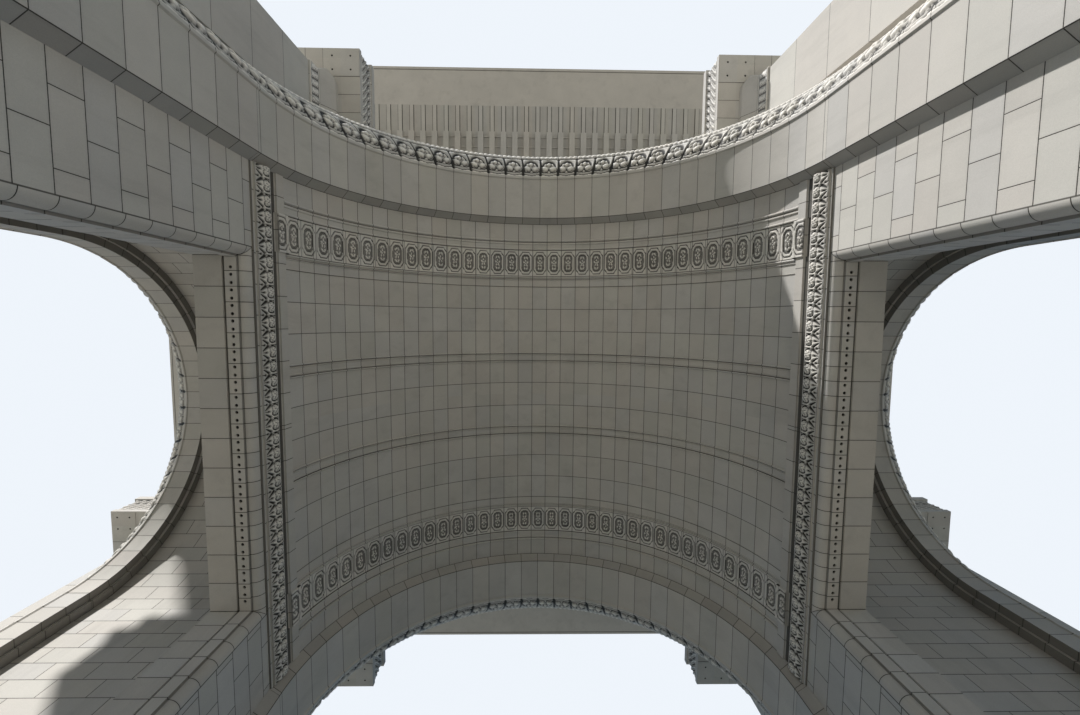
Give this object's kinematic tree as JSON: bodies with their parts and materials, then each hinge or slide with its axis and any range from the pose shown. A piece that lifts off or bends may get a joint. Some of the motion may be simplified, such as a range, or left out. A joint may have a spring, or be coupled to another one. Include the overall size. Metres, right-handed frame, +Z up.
{
  "type": "half-size model of a four-way triumphal arch",
  "caption": "Stone triumphal arch open on all four sides: a wide banded barrel vault, side passages behind square doorways, capped corner piers and stepped eaves, made at half size.",
  "frame": {"origin": "on the ground at the centre of the crossing", "axes": "+Z up, +Y from the front towards the back along the main vault, +X to the right when facing the front"},
  "size_m": [31.78, 24.93, 30],
  "materials": {
    "back_arch_ring": "matt dressed granite",
    "back_bay_wall": "matt dressed granite",
    "back_left_pier": "matt dressed granite",
    "back_left_pier_cap": "matt dressed granite",
    "back_rafters": "matt dressed granite",
    "back_right_pier": "matt dressed granite",
    "back_right_pier_cap": "matt dressed granite",
    "crown_tier_eave": "matt dressed granite",
    "crown_tier_wall": "matt dressed granite",
    "first_eave": "matt dressed granite",
    "front_arch_ring": "matt dressed granite",
    "front_bay_wall": "matt dressed granite",
    "front_left_pier": "matt dressed granite",
    "front_left_pier_cap": "matt dressed granite",
    "front_rafters": "matt dressed granite",
    "front_right_pier": "matt dressed granite",
    "front_right_pier_cap": "matt dressed granite",
    "left_arch_ring": "matt dressed granite",
    "left_bay_wall": "matt dressed granite",
    "left_impost_band": "matt dressed granite",
    "left_inner_wall": "matt dressed granite",
    "left_passage_vault": "matt dressed granite",
    "left_rafters": "matt dressed granite",
    "main_vault": "matt dressed granite",
    "right_arch_ring": "matt dressed granite",
    "right_bay_wall": "matt dressed granite",
    "right_impost_band": "matt dressed granite",
    "right_inner_wall": "matt dressed granite",
    "right_passage_vault": "matt dressed granite",
    "right_rafters": "matt dressed granite",
    "second_tier_eave": "matt dressed granite",
    "second_tier_wall": "matt dressed granite",
    "third_tier_eave": "matt dressed granite",
    "third_tier_wall": "matt dressed granite",
    "upper_body": "matt dressed granite"
  },
  "bodies": {
    "root": {"back_arch_ring": "back_arch_ring", "back_bay_wall": "back_bay_wall", "back_left_pier": "back_left_pier", "back_left_pier_cap": "back_left_pier_cap", "back_rafters": "back_rafters", "back_right_pier": "back_right_pier", "back_right_pier_cap": "back_right_pier_cap", "crown_tier_eave": "crown_tier_eave", "crown_tier_wall": "crown_tier_wall", "first_eave": "first_eave", "front_arch_ring": "front_arch_ring", "front_bay_wall": "front_bay_wall", "front_left_pier": "front_left_pier", "front_left_pier_cap": "front_left_pier_cap", "front_rafters": "front_rafters", "front_right_pier": "front_right_pier", "front_right_pier_cap": "front_right_pier_cap", "left_arch_ring": "left_arch_ring", "left_bay_wall": "left_bay_wall", "left_impost_band": "left_impost_band", "left_inner_wall": "left_inner_wall", "left_passage_vault": "left_passage_vault", "left_rafters": "left_rafters", "main_vault": "main_vault", "right_arch_ring": "right_arch_ring", "right_bay_wall": "right_bay_wall", "right_impost_band": "right_impost_band", "right_inner_wall": "right_inner_wall", "right_passage_vault": "right_passage_vault", "right_rafters": "right_rafters", "second_tier_eave": "second_tier_eave", "second_tier_wall": "second_tier_wall", "third_tier_eave": "third_tier_eave", "third_tier_wall": "third_tier_wall", "upper_body": "upper_body"}
  },
  "joints": []
}
